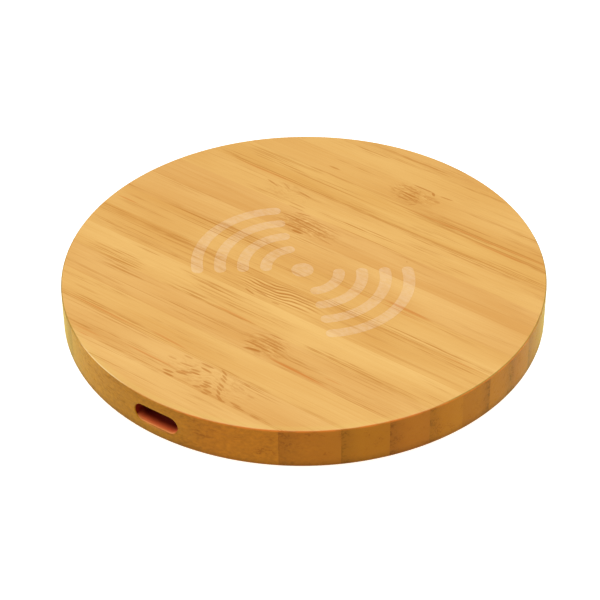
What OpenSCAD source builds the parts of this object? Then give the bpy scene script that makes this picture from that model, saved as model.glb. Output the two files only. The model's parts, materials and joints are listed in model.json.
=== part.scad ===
// Round bamboo wireless charging pad, in millimetres.
// The origin is the middle of the plane that the feet stand on, and +Z is up.
// The cable port faces -Y, and the bamboo strips run along X.

/* [Bamboo body] */
// Diameter of the bamboo body
pad_d = 100; // [98:1:112]
// Height of the bamboo body, without the feet
pad_h = 9; // [8.8:0.1:10.5]
// Radius of the eased rims at the top and the bottom
edge_r = 0.3; // [0.2:0.1:0.8]
// Thickness of the charging face above the coil
face_t = 2; // [1.8:0.1:2.2]
// Thickness of the wall around the electronics pocket
wall_t = 8; // [7.5:0.1:8.5]

/* [Cable port] */
// Width of the port opening
port_w = 10.6; // [10:0.1:11.6]
// Height of the port opening
port_h = 4.2; // [4.1:0.1:4.5]
// Height of the port's middle above the bamboo's underside
port_lift = 4.4; // [4.3:0.1:4.5]
// Bamboo left in front of the cable socket
port_wall = 3.8; // [3.4:0.1:4.2]

/* [Printed mark] */
// Radius of the dot in the middle
mark_dot_r = 2.3; // [1.5:0.1:3]
// Distance from the dot's middle to the first pair of arcs
mark_first_r = 7.9; // [6.5:0.1:9]
// Distance from one pair of arcs to the next
mark_pitch = 5.05; // [4:0.05:5.6]
// Width of an arc's stroke
mark_stroke = 2.45; // [1.2:0.05:3]
// Radius of an arc's curve, as a share of its distance from the dot's middle
mark_bow = 0.77; // [0.7:0.01:1]
// Half of the angle that an arc spans about its own centre, round ends included
mark_half_angle = 51; // [36:1:58]
// Turn of the mark about the pad's axis
mark_turn = -2.5; // [-10:0.5:10]
// Distance that the mark is printed off centre, along X
mark_x = -0.3; // [-1:0.1:1]

/* [Charging coil] */
// Radius of the innermost turn
coil_inner_r = 10.25; // [9.5:0.05:11]
// Turns of wire
coil_turns = 10; // [8:1:10]
// Diameter of the stranded wire
wire_d = 1.1; // [0.9:0.05:1.1]
// Gap between turns
wire_gap = 0.08; // [0.05:0.01:0.12]

/* [Base] */
// Thickness of the base cover
cover_t = 1.6; // [1.6:0.1:1.8]
// Height that the feet stand out below the base
foot_proud = 0.6; // [0.4:0.1:1]
// Radius of a foot
foot_r = 4.9; // [4:0.1:5.2]

/* [Hidden] */
$fn = 96;
eps = 0.01;

// Heights of the stack, from the feet up
body_z0 = foot_proud;
body_z1 = body_z0 + pad_h;
ceiling_z = body_z1 - face_t;
cover_z1 = body_z0 + cover_t;
port_z = body_z0 + port_lift;

// How far a cut goes past the face that it opens
cut = 1;

// Body
pad_r = pad_d / 2;
pocket_r = pad_r - wall_t;
ledge_w = 2.25;
rebate_r = pocket_r + ledge_w;
bay_y = -(pad_r - port_wall);
bay_w = 14;
bay_corner_r = 1.5;
bay_overlap = 2;
bay_z1 = port_z + 2.3;

// Screw lugs of the body, and the base cover's pads that meet them
lug_circle_r = pocket_r - 4;
lug_r = 3.6;
lug_angles = [45, 135, 225, 315];
lug_overlap = 1;
lug_pad_h = 0.6;
lug_pad_r = lug_r - 0.2;
lug_z0 = cover_z1 + lug_pad_h;
lug_bore_r = 1;
lug_bore_depth = 3.8;

// Printed mark
mark_depth = 0.1;
mark_arcs = 4;

// Cable socket
usb_w = 8.94;
usb_h = 3.2;
usb_l = 7.3;
usb_wall = 0.3;
usb_front_y = bay_y + 0.15;
usb_back_y = usb_front_y + usb_l;
usb_leg_x = usb_w / 2 + 0.65;
usb_leg_t = 0.3;
usb_leg_l = 1.2;
leg_hole_t = usb_leg_t + 0.2;
leg_hole_l = usb_leg_l + 0.2;
usb_leg_overlap = 0.1;
usb_leg_ys = [usb_front_y + 2, usb_front_y + 5.6];
tongue_w = 6.69;
tongue_t = 0.7;
tongue_tip_y = usb_front_y + 0.65;
tongue_root_y = usb_front_y + 4.6;
tongue_root_l = 1.2;
insulator_gap = 0.02;
contact_pitch = 0.5;
contact_count = 12;
contact_w = 0.26;
contact_t = 0.06;
contact_y0 = tongue_tip_y + 0.5;
contact_y1 = tongue_root_y - tongue_root_l;
tail_l = 1.1;
tail_t = 0.12;

// Circuit board, with the cable socket sunk into its front edge
usb_sink = 0.8;
board_t = 1;
board_z1 = port_z - usb_h / 2 + usb_sink;
board_z0 = board_z1 - board_t;
board_r = lug_circle_r - lug_r - 0.9;
board_shoulder_w = 26;
board_shoulder_y = -(pocket_r - 3.5);
board_tab_w = 13;
board_tab_y = bay_y + 0.4;
board_notch_w = usb_w + 0.16;
board_notch_y = usb_back_y + 0.05;
board_screw_circle_r = board_r - 2.5;
board_screw_angles = [90, 210, 330];
board_hole_r = 1;

// Parts on the board's ring outside the foam
ring_r = board_r - 4.2;
small_part_r = board_r - 5;
controller_angle = 240;
inductor_angle = 308;
sense_angle = 135;
capacitor_angles = [-8, 0, 8, 16];
transistor_angles = [150, 162, 174, 186];
resistor_angles = [for (a = [52 : 5 : 77]) a];
decoupler_angles = [for (a = [102 : 5 : 122]) a];
input_capacitor_x = 9.6;
input_capacitor_y = -(board_r + 1);
regulator_y = -(board_r - 1);

// Sizes of the chips: length, width and height
controller_size = [5, 5, 0.85];
transistor_size = [3.3, 3.3, 1];
regulator_size = [4.5, 2.5, 1.5];
dimple_r = 0.3;
dimple_depth = 0.05;
dimple_inset = 0.7;

// Sizes of the two-ended parts: length, width, height and the length of a plated end
capacitor_size = [3.2, 2.5, 1.8, 0.5];
input_size = [3.2, 1.6, 1.3, 0.5];
sense_size = [6.3, 3.2, 0.6, 0.6];
resistor_size = [1.6, 0.8, 0.45, 0.3];
decoupler_size = [1.6, 0.8, 0.8, 0.3];

// Filter inductor
inductor_w = 5.2;
inductor_h = min(3, ceiling_z - board_z1 - 0.3);
inductor_flange_h = 0.6;
inductor_core_r = inductor_w / 2 - 0.2;

// Coil stack, hung from the ceiling of the pocket, with room for a wire under the shield
wire_r = wire_d / 2;
coil_pitch = wire_d + wire_gap;
coil_outer_r = coil_inner_r + coil_turns * coil_pitch;
coil_tape_t = 0.15;
coil_z = ceiling_z - coil_tape_t - wire_r;
tape_margin = 0.6;
tape_inset = 1;
ferrite_tape_t = 0.1;
ferrite_z1 = coil_z - wire_r - ferrite_tape_t;
ferrite_t = min(0.9, ferrite_z1 - board_z1 - wire_d - 0.05);
ferrite_z0 = ferrite_z1 - ferrite_t;
ferrite_r = min(coil_outer_r + 2.95, ring_r - 3.2);
ferrite_ease = min(0.15, ferrite_t / 4);
ferrite_hole_r = 2;
foam_hole_r = 4;
foam_r = ferrite_r - 1;
foam_h = ferrite_z0 - board_z1;

// Ends of the coil's wire
lead_hole_w = wire_d + 0.6;
lead_hole_l = 5;
outer_run = 14;
outer_drop = coil_z - board_z1;
inner_start = 0.3;
inner_run = 23;
inner_z = board_z1 + wire_r;
inner_drop = coil_z - inner_z;
lead_bend_r = min(1, inner_drop / 2 - 0.05);

// Heat sensor
bead_r = 0.9;
bead_z = ceiling_z - bead_r - 0.1;
bead_wire_r = 0.15;
bead_wire_x = 0.4;

// Base cover
cover_gap = 0.25;
cover_r = rebate_r - cover_gap;
cover_tongue_w = bay_w - 0.4;
cover_tongue_y = bay_y + cover_gap;
cover_tongue_overlap = 4;
foot_recess_h = 0.5;
foot_gap = 0.15;
foot_round = 0.3;
post_r = 2.6;
post_h = board_z0 - cover_z1;
post_bore_r = 0.85;
post_floor_t = 0.6;
label_recess_r = 24;
label_recess_h = 0.25;
stiffener_r = 19;
stiffener_w = 1;
stiffener_h = 0.7;

// Screws: head radius, head height, core radius, thread radius, length, thread pitch
cover_screw = [1.9, 0.9, 0.75, 0.98, 4.2, 0.7];
board_screw = [1.6, 1.1, 0.6, 0.83, 2.7, 0.6];
cover_head_r = 2.1;
cover_hole_r = 1.15;
cover_head_z = lug_z0 - 0.7;

// A disc whose two rims are eased by a quarter round
module eased_disc(r, h, ease) {
    rotate_extrude() difference() {
        square([r, h]);
        for (side = [0, 1]) translate([r - ease, side ? h - ease : ease]) difference() {
            translate([0, side ? 0 : -ease - eps]) square([ease + eps, ease + eps]);
            circle(ease);
        }
    }
}

// A flat slot outline with round ends
module stadium(w, h) {
    square([w - h, h], center = true);
    for (side = [-1, 1]) translate([side * (w - h) / 2, 0]) circle(h / 2);
}

// A rectangle that runs from y0 to y1, with its two corners at y0 rounded
module bay_outline(w, y0, y1, corner) {
    translate([-w / 2, y0 + corner]) square([w, y1 - y0 - corner]);
    translate([-w / 2 + corner, y0]) square([w - 2 * corner, y1 - y0]);
    for (side = [-1, 1]) translate([side * (w / 2 - corner), y0 + corner]) circle(corner);
}

// Copies of a piece on a circle
module at_angles(angles, r, z = 0) {
    for (a = angles) rotate(a) translate([r, 0, z]) children();
}

// A round ring with a rectangular section
module ring(r_in, r_out, h) {
    rotate_extrude() translate([r_in, 0]) square([r_out - r_in, h]);
}

// A self-tapping screw along +Z, its head below the plane z = 0
module tapping_screw(size) {
    head_r = size[0];
    head_h = size[1];
    core_r = size[2];
    thread_r = size[3];
    length = size[4];
    pitch = size[5];
    tip_l = 1.2 * pitch;
    tip_r = 0.25 * core_r;
    crown_r = 0.7 * head_r;
    crown_z = -0.55 * head_h;
    slot_l = 1.2 * head_r;
    slot_w = 0.28 * head_r;
    threads = floor((length - tip_l) / pitch);
    thread = [for (i = [0 : threads - 1]) each [
        [core_r, (i + 0.2) * pitch], [thread_r, (i + 0.5) * pitch],
        [thread_r, (i + 0.6) * pitch], [core_r, (i + 0.9) * pitch]
    ]];
    difference() {
        rotate_extrude() polygon(concat(
            [[0, -head_h], [crown_r, -head_h], [head_r, crown_z], [head_r, 0], [core_r, 0]],
            thread,
            [[core_r, length - tip_l], [tip_r, length], [0, length]]
        ));
        for (turn = [0, 90]) rotate(turn) translate([0, 0, -head_h])
            cube([slot_l, slot_w, head_h], center = true);
    }
}

// Outline of the mark: a dot with arcs to its left and right
module mark_outline(h) {
    translate([mark_x, 0, 0]) rotate(mark_turn) {
        cylinder(r = mark_dot_r, h = h);
        for (i = [0 : mark_arcs - 1], side = [0, 180]) rotate(side)
            mark_arc(mark_first_r + i * mark_pitch, h);
    }
}

// One arc of the mark, with round ends; its own centre lies between the dot's and the arc
module mark_arc(distance, h) {
    r = mark_bow * distance;
    sweep = mark_half_angle - asin(mark_stroke / 2 / r);
    translate([distance - r, 0, 0]) {
        rotate(-sweep) rotate_extrude(angle = 2 * sweep)
            translate([r - mark_stroke / 2, 0]) square([mark_stroke, h]);
        for (end = [-sweep, sweep]) rotate(end) translate([r, 0, 0]) cylinder(d = mark_stroke, h = h);
    }
}

// Lugs in the pocket that the cover's screws go into, joined to its wall
module screw_lugs() {
    lug_h = ceiling_z - lug_z0 + eps;
    at_angles(lug_angles, lug_circle_r, lug_z0) {
        cylinder(r = lug_r, h = lug_h);
        translate([0, -lug_r, 0]) cube([pocket_r - lug_circle_r + lug_overlap, 2 * lug_r, lug_h]);
    }
}

// Body milled from laminated bamboo: pocket, cover rebate, port bay and screw lugs
module bamboo_body() {
    color("burlywood") difference() {
        translate([0, 0, body_z0]) eased_disc(pad_r, pad_h, edge_r);
        difference() {
            translate([0, 0, body_z0]) cylinder(r = pocket_r, h = ceiling_z - body_z0);
            screw_lugs();
        }
        translate([0, 0, body_z0 - eps]) cylinder(r = rebate_r, h = cover_t + eps);
        translate([0, 0, body_z0 - eps]) linear_extrude(bay_z1 - body_z0 + eps)
            bay_outline(bay_w, bay_y, -pocket_r + bay_overlap, bay_corner_r);
        translate([0, bay_y + eps, port_z]) rotate([90, 0, 0]) linear_extrude(port_wall + cut)
            stadium(port_w, port_h);
        at_angles(lug_angles, lug_circle_r, lug_z0 - eps)
            cylinder(r = lug_bore_r, h = lug_bore_depth + eps);
        translate([0, 0, body_z1 - mark_depth]) mark_outline(mark_depth + eps);
    }
}

// Pale ink set flush into the charging face
module charging_mark() {
    color("wheat") translate([0, 0, body_z1 - mark_depth]) mark_outline(mark_depth);
}

// Adhesive film that holds the coil to the ceiling of the pocket
module coil_tape() {
    color("ivory") translate([0, 0, ceiling_z - coil_tape_t])
        ring(coil_inner_r - tape_inset, coil_outer_r + tape_margin, coil_tape_t);
}

// Flat spiral of stranded wire, each half turn half a pitch wider than the last
module charging_coil() {
    color("peru") translate([0, 0, coil_z]) for (i = [0 : 2 * coil_turns - 1])
        translate([(i % 2) * coil_pitch / 2, 0, 0]) rotate((i % 2) * 180) rotate_extrude(angle = 180)
            translate([coil_inner_r + i * coil_pitch / 2, 0]) circle(wire_r);
}

// A quarter bend in the YZ plane: it enters along +Y at the origin and leaves along -Z
module drop_bend() {
    translate([0, 0, -lead_bend_r]) rotate([0, 90, 0]) rotate([0, 0, 90]) rotate_extrude(angle = 90)
        translate([lead_bend_r, 0]) circle(wire_r);
}

// A straight stretch of the wire
module wire_along_y(length) {
    rotate([-90, 0, 0]) cylinder(r = wire_r, h = length);
}

// Ends of the coil's wire: the outer end drops beyond the shield, the inner one runs back under it
module coil_leads() {
    color("sienna") {
        translate([coil_outer_r, 0, coil_z]) {
            wire_along_y(outer_run);
            translate([0, outer_run, 0]) drop_bend();
            translate([0, outer_run + lead_bend_r, -outer_drop])
                cylinder(r = wire_r, h = outer_drop - lead_bend_r);
        }
        translate([coil_inner_r, 0, 0]) mirror([0, 1, 0]) {
            translate([0, 0, coil_z]) wire_along_y(inner_start);
            translate([0, inner_start, coil_z]) drop_bend();
            translate([0, inner_start + lead_bend_r, inner_z + lead_bend_r])
                cylinder(r = wire_r, h = inner_drop - 2 * lead_bend_r);
            translate([0, inner_start + 2 * lead_bend_r, inner_z]) rotate([180, 0, 0]) drop_bend();
            translate([0, inner_start + 2 * lead_bend_r, inner_z]) wire_along_y(inner_run);
        }
    }
}

// Bead that senses the heat in the middle of the coil, on two wires from the board
module thermistor() {
    color("darkgoldenrod") {
        translate([0, 0, bead_z]) sphere(bead_r);
        for (side = [-1, 1]) translate([side * bead_wire_x, 0, board_z1])
            cylinder(r = bead_wire_r, h = bead_z - board_z1);
    }
}

// Hole through which the coil's inner wire end goes down
module lead_hole(h) {
    translate([coil_inner_r, -lead_hole_l / 2 + lead_hole_w / 2, 0]) linear_extrude(h)
        rotate(90) stadium(lead_hole_l, lead_hole_w);
}

// Film between the coil and the shield
module ferrite_tape() {
    color("lightgray") translate([0, 0, ferrite_z1]) difference() {
        ring(ferrite_hole_r + tape_inset, coil_outer_r + tape_margin, ferrite_tape_t);
        translate([0, 0, -eps]) lead_hole(ferrite_tape_t + 2 * eps);
    }
}

// Ferrite disc that keeps the coil's field away from the board
module ferrite_shield() {
    color("dimgray") translate([0, 0, ferrite_z0]) difference() {
        eased_disc(ferrite_r, ferrite_t, ferrite_ease);
        translate([0, 0, -eps]) cylinder(r = ferrite_hole_r, h = ferrite_t + 2 * eps);
        translate([0, 0, -eps]) lead_hole(ferrite_t + 2 * eps);
    }
}

// Sponge ring that presses the coil up against the charging face
module foam_spacer() {
    color("darkslategray") difference() {
        translate([0, 0, board_z1]) ring(foam_hole_r, foam_r, foam_h);
        translate([coil_inner_r - lead_hole_w / 2, -ferrite_r, board_z1 - eps])
            cube([lead_hole_w, ferrite_r + cut, foam_h + 2 * eps]);
    }
}

// Round board with a shoulder and a tab that reach to the port
module circuit_board() {
    color("seagreen") translate([0, 0, board_z0]) difference() {
        linear_extrude(board_t) {
            circle(board_r);
            translate([-board_shoulder_w / 2, board_shoulder_y])
                square([board_shoulder_w, -board_shoulder_y]);
            translate([-board_tab_w / 2, board_tab_y]) square([board_tab_w, -board_tab_y]);
        }
        translate([-board_notch_w / 2, board_tab_y - cut, -eps])
            cube([board_notch_w, board_notch_y - board_tab_y + cut, board_t + 2 * eps]);
        at_angles(board_screw_angles, board_screw_circle_r, -eps)
            cylinder(r = board_hole_r, h = board_t + 2 * eps);
        for (side = [-1, 1], y = usb_leg_ys) translate([side * usb_leg_x, y, board_t / 2])
            cube([leg_hole_t, leg_hole_l, board_t + 2 * eps], center = true);
    }
}

// A chip with one corner marked by a dimple
module chip(size) {
    difference() {
        translate([-size[0] / 2, -size[1] / 2, 0]) cube(size);
        translate([-size[0] / 2 + dimple_inset, size[1] / 2 - dimple_inset, size[2] - dimple_depth])
            cylinder(r = dimple_r, h = 2 * dimple_depth);
    }
}

// Chip that runs the charging
module controller_chip() {
    color("darkslategray") at_angles([controller_angle], ring_r, board_z1) chip(controller_size);
}

// Four switches that drive the coil
module bridge_transistors() {
    color("darkslategray") at_angles(transistor_angles, ring_r, board_z1) chip(transistor_size);
}

// Supply chip behind the cable socket
module regulator_chip() {
    color("darkslategray") translate([0, regulator_y, board_z1]) chip(regulator_size);
}

// Wound inductor: square base and top flange with a round shield between
module filter_inductor() {
    color("gray") at_angles([inductor_angle], ring_r, board_z1) {
        for (z = [0, inductor_h - inductor_flange_h]) translate([-inductor_w / 2, -inductor_w / 2, z])
            cube([inductor_w, inductor_w, inductor_flange_h]);
        cylinder(r = inductor_core_r, h = inductor_h);
    }
}

// Ceramic middle of a two-ended part, between its plated ends
module part_middle(size) {
    translate([-size[0] / 2 + size[3], -size[1] / 2, 0]) cube([size[0] - 2 * size[3], size[1], size[2]]);
}

// Plated ends of a two-ended part
module part_ends(size) {
    for (side = [-1, 1]) translate([side * (size[0] - size[3]) / 2, 0, size[2] / 2])
        cube([size[3], size[1], size[2]], center = true);
}

// Places of the two input capacitors
module at_inputs() {
    for (side = [-1, 1]) translate([side * input_capacitor_x, input_capacitor_y, board_z1])
        rotate(90) children();
}

// Capacitors that tune the coil
module resonant_capacitors() {
    color("tan") at_angles(capacitor_angles, ring_r, board_z1) part_middle(capacitor_size);
}

// Capacitors beside the cable socket
module input_capacitors() {
    color("tan") at_inputs() part_middle(input_size);
}

// Wide resistor that measures the coil's current
module sense_resistor() {
    color("black") at_angles([sense_angle], ring_r, board_z1) rotate(90) part_middle(sense_size);
}

// Row of small resistors
module chip_resistors() {
    color("black") at_angles(resistor_angles, small_part_r, board_z1) part_middle(resistor_size);
}

// Row of small capacitors
module chip_capacitors() {
    color("tan") at_angles(decoupler_angles, small_part_r, board_z1) part_middle(decoupler_size);
}

// Plated ends of all the two-ended parts
module plated_terminals() {
    color("silver") {
        at_angles(capacitor_angles, ring_r, board_z1) part_ends(capacitor_size);
        at_inputs() part_ends(input_size);
        at_angles([sense_angle], ring_r, board_z1) rotate(90) part_ends(sense_size);
        at_angles(resistor_angles, small_part_r, board_z1) part_ends(resistor_size);
        at_angles(decoupler_angles, small_part_r, board_z1) part_ends(decoupler_size);
    }
}

// Carries a flat outline from the socket's front, back along +Y
module from_socket_y(y0, y1) {
    translate([0, y1, port_z]) rotate([90, 0, 0]) linear_extrude(y1 - y0) children();
}

// Steel shell of the cable socket, with four legs through the board
module usb_shell() {
    leg_out_x = usb_leg_x + usb_leg_t / 2;
    color("silver") {
        difference() {
            from_socket_y(usb_front_y, usb_back_y) stadium(usb_w, usb_h);
            from_socket_y(usb_front_y - cut, usb_back_y + cut)
                stadium(usb_w - 2 * usb_wall, usb_h - 2 * usb_wall);
        }
        for (side = [-1, 1], y = usb_leg_ys) {
            translate([side * (usb_w / 2 + leg_out_x) / 2, y, board_z1 + usb_leg_t / 2])
                cube([leg_out_x - usb_w / 2 + 2 * usb_leg_overlap, usb_leg_l, usb_leg_t], center = true);
            translate([side * usb_leg_x, y, board_z1 + usb_leg_t / 2 - board_t / 2])
                cube([usb_leg_t, usb_leg_l, board_t], center = true);
        }
    }
}

// Moulded tongue and back block inside the shell
module usb_insulator() {
    inset = usb_wall + insulator_gap;
    color("black") {
        from_socket_y(tongue_root_y, usb_back_y) stadium(usb_w - 2 * inset, usb_h - 2 * inset);
        translate([-tongue_w / 2, tongue_tip_y, port_z - tongue_t / 2])
            cube([tongue_w, tongue_root_y - tongue_tip_y, tongue_t]);
        translate([-tongue_w / 2, tongue_root_y - tongue_root_l, port_z - tongue_t])
            cube([tongue_w, tongue_root_l, 2 * tongue_t]);
    }
}

// Contact strips on both faces of the tongue, and their soldered tails behind the socket
module usb_contacts() {
    first_x = -contact_pitch * (contact_count - 1) / 2 - contact_w / 2;
    color("gold") for (i = [0 : contact_count - 1]) translate([first_x + i * contact_pitch, 0, 0]) {
        for (z = [port_z + tongue_t / 2, port_z - tongue_t / 2 - contact_t])
            translate([0, contact_y0, z]) cube([contact_w, contact_y1 - contact_y0, contact_t]);
        translate([0, usb_back_y, board_z1]) cube([contact_w, tail_l, tail_t]);
    }
}

// Screws that hold the board to the posts of the base cover
module board_screws() {
    color("silver") at_angles(board_screw_angles, board_screw_circle_r, board_z1) rotate([180, 0, 0])
        tapping_screw(board_screw);
}

// Moulded cover that closes the pocket, with a tongue that fills the port bay
module base_cover() {
    color("dimgray") difference() {
        union() {
            translate([0, 0, body_z0]) linear_extrude(cover_t) {
                circle(cover_r);
                bay_outline(cover_tongue_w, cover_tongue_y, -cover_r + cover_tongue_overlap, bay_corner_r);
            }
            at_angles(lug_angles, lug_circle_r, cover_z1 - eps)
                cylinder(r = lug_pad_r, h = lug_pad_h + eps);
            at_angles(board_screw_angles, board_screw_circle_r, cover_z1 - eps)
                cylinder(r = post_r, h = post_h + eps);
            translate([0, 0, cover_z1 - eps])
                ring(stiffener_r, stiffener_r + stiffener_w, stiffener_h + eps);
        }
        at_angles(lug_angles, lug_circle_r, body_z0 - eps) {
            cylinder(r = foot_r + foot_gap, h = foot_recess_h + eps);
            cylinder(r = cover_head_r, h = cover_head_z - body_z0 + eps);
            cylinder(r = cover_hole_r, h = lug_z0 - body_z0 + cut);
        }
        at_angles(board_screw_angles, board_screw_circle_r, body_z0 + post_floor_t)
            cylinder(r = post_bore_r, h = cover_t + post_h);
        translate([0, 0, body_z0 - eps]) cylinder(r = label_recess_r, h = label_recess_h + eps);
    }
}

// Screws that hold the base cover to the lugs of the body
module cover_screws() {
    color("silver") at_angles(lug_angles, lug_circle_r, cover_head_z) tapping_screw(cover_screw);
}

// Soft foot, its top set into the base cover over a screw head
module rubber_foot(i) {
    color("black") at_angles([lug_angles[i]], lug_circle_r) rotate_extrude() difference() {
        square([foot_r, foot_proud + foot_recess_h]);
        translate([foot_r - foot_round, foot_round]) difference() {
            translate([0, -foot_round - eps]) square([foot_round + eps, foot_round + eps]);
            circle(foot_round);
        }
    }
}

bamboo_body();
charging_mark();
coil_tape();
charging_coil();
coil_leads();
thermistor();
ferrite_tape();
ferrite_shield();
foam_spacer();
circuit_board();
controller_chip();
bridge_transistors();
regulator_chip();
filter_inductor();
resonant_capacitors();
input_capacitors();
sense_resistor();
chip_resistors();
chip_capacitors();
plated_terminals();
usb_shell();
usb_insulator();
usb_contacts();
board_screws();
base_cover();
cover_screws();
rubber_foot(0);  // rubber_foot_1
rubber_foot(1);  // rubber_foot_2
rubber_foot(2);  // rubber_foot_3
rubber_foot(3);  // rubber_foot_4
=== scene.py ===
import bmesh
import bpy
import json
import math
from mathutils import Matrix, Vector

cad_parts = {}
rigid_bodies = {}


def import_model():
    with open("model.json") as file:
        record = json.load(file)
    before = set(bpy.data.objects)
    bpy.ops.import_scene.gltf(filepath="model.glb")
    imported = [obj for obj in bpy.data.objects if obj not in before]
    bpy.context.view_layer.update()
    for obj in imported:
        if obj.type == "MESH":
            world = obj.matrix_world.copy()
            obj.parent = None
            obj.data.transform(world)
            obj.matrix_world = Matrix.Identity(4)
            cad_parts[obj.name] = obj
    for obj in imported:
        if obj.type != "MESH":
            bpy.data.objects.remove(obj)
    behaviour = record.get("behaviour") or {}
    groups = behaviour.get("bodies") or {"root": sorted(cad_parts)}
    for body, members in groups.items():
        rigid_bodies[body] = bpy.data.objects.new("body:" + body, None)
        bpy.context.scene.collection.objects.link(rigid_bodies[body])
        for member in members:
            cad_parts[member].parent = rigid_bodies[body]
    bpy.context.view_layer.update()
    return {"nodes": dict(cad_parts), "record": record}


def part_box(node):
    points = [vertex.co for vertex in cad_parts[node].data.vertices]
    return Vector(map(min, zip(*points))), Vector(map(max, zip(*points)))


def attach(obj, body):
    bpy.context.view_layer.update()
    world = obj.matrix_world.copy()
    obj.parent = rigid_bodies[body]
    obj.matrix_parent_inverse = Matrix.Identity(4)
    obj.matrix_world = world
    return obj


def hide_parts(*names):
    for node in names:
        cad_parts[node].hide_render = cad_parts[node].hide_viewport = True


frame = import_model()
nodes = frame["nodes"]
slotOf = {entry["node"]: entry["material_slot"] for entry in frame["record"]["subparts"]}
mm = 0.001
padR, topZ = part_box("bamboo_body")[1].x / mm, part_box("bamboo_body")[1].z / mm
print("frame loaded:", len(nodes), "nodes")


# what a shader node puts out: sums written with it become nodes of the same tree
class Value:
    def __init__(self, wires, socket):
        self.wires = wires
        self.socket = socket

    def __add__(self, other):
        return self.wires.math("ADD", self, other)

    def __radd__(self, other):
        return self.wires.math("ADD", other, self)

    def __sub__(self, other):
        return self.wires.math("SUBTRACT", self, other)

    def __rsub__(self, other):
        return self.wires.math("SUBTRACT", other, self)

    def __mul__(self, other):
        return self.wires.math("MULTIPLY", self, other)

    def __truediv__(self, other):
        return self.wires.math("DIVIDE", self, other)

    def __lt__(self, other):
        return self.wires.math("LESS_THAN", self, other)

    def __gt__(self, other):
        return self.wires.math("GREATER_THAN", self, other)

    def __abs__(self):
        return self.wires.math("ABSOLUTE", self)

    def ramp(self, low, high, toLow=0.0, toHigh=1.0):
        values = {"Value": self, "From Min": low, "From Max": high, "To Min": toLow, "To Max": toHigh}
        return self.wires.value("ShaderNodeMapRange", values, "Result", interpolation_type="SMOOTHSTEP")


# the nodes of one tree; an input takes a number, a colour or another node's value
class Wiring:
    def __init__(self, tree):
        self.tree = tree

    def feed(self, socket, value):
        if isinstance(value, Value):
            self.tree.links.new(value.socket, socket)
        elif socket.type == "RGBA":
            socket.default_value = (*value[:3], 1.0)
        else:
            socket.default_value = value

    def fill(self, sockets, **values):
        for name, value in values.items():
            self.feed(sockets[name.replace("_", " ")], value)

    def node(self, kind, values=None, **settings):
        made = self.tree.nodes.new(kind)
        for name, setting in settings.items():
            setattr(made, name, setting)
        for name, value in (values or {}).items():
            self.feed(made.inputs[name], value)
        return made

    def value(self, kind, values=None, output=0, **settings):
        return Value(self, self.node(kind, values, **settings).outputs[output])

    def math(self, operation, *values):
        return self.value("ShaderNodeMath", dict(enumerate(values)), operation=operation)

    def most(self, *values):
        total = values[0]
        for value in values[1:]:
            total = self.math("MAXIMUM", total, value)
        return total

    def reach(self, x, y):
        return self.math("SQRT", x * x + y * y)

    def combine(self, x, y, z):
        return self.value("ShaderNodeCombineXYZ", {"X": x, "Y": y, "Z": z})

    def split(self, vector):
        made = self.node("ShaderNodeSeparateXYZ", {"Vector": vector})
        return [Value(self, socket) for socket in made.outputs]

    def dot(self, vector, other):
        return self.value("ShaderNodeVectorMath", {0: vector, 1: other}, "Value", operation="DOT_PRODUCT")

    def grown(self, vector, factor):
        return self.value("ShaderNodeVectorMath", {"Vector": vector, "Scale": factor}, operation="SCALE")

    def stretched(self, vector, *factors):
        return self.value("ShaderNodeMapping", {"Vector": vector, "Scale": factors})

    def noise(self, vector, detail=2.0, roughness=0.5, distortion=0.0):
        values = {"Vector": vector, "Scale": 1.0, "Detail": detail}
        values.update({"Roughness": roughness, "Distortion": distortion})
        return self.value("ShaderNodeTexNoise", values)

    def cells(self, vector, feature="F1"):
        values = {"Vector": vector, "Scale": 1.0}
        return self.value("ShaderNodeTexVoronoi", values, "Distance", feature=feature)

    def mix(self, factor, a, b, blend="MIX"):
        return self.value("ShaderNodeMix", {0: factor, 6: a, 7: b}, 2, data_type="RGBA", blend_type=blend)

    def tinted(self, colour, tint, factor=1.0):
        return self.mix(factor, colour, tint, "MULTIPLY")

    def shaded(self, colour, shade):
        return self.tinted(colour, self.combine(shade, shade, shade))

    def steps(self, factor, tones):
        made = self.node("ShaderNodeValToRGB", {"Fac": factor})   # one flat step per tone
        ramp = made.color_ramp
        ramp.interpolation = "CONSTANT"
        while len(ramp.elements) < len(tones):
            ramp.elements.new(1.0)
        for i, tone in enumerate(tones):
            ramp.elements[i].position = i / len(tones)
            ramp.elements[i].color = (tone, tone, tone, 1.0)
        return Value(self, made.outputs[0])

    def group(self, tree, **values):
        made = self.node("ShaderNodeGroup", values, node_tree=tree)
        return {socket.name: Value(self, socket) for socket in made.outputs}

    def bump(self, height, depth, strength=1.0):
        return self.value("ShaderNodeBump", {"Strength": strength, "Distance": depth * mm, "Height": height})


def newGroup(name, inputs, outputs):
    tree = bpy.data.node_groups.new(name, "ShaderNodeTree")
    for way, sockets in (("INPUT", inputs), ("OUTPUT", outputs)):
        for label, kind in sockets.items():
            tree.interface.new_socket(label, in_out=way, socket_type="NodeSocket" + kind)
    wires = Wiring(tree)
    entry = wires.node("NodeGroupInput")
    leave = wires.node("NodeGroupOutput")
    given = {label: Value(wires, entry.outputs[label]) for label in inputs}
    return tree, wires, given, leave.inputs


def newMaterial(name, **constants):
    made = bpy.data.materials.new(name)
    made.use_nodes = True
    wires = Wiring(made.node_tree)
    shader = made.node_tree.nodes["Principled BSDF"].inputs
    wires.fill(shader, **constants)
    place = wires.value("ShaderNodeTexCoord", output="Object")
    return made, wires, shader, wires.grown(place, 1 / mm)        # the place comes in mm


def seen(r, g, b, light=1.0):
    # surface colour that shows as this screen colour under the given light
    screen = (c / 255 for c in (r, g, b))
    linear = (c / 12.92 if c <= 0.04045 else ((c + 0.055) / 1.055) ** 2.4 for c in screen)
    return tuple(c / light for c in linear)


faceLight = 1.48      # what the charging face gets, against a white that just shows as white

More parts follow.
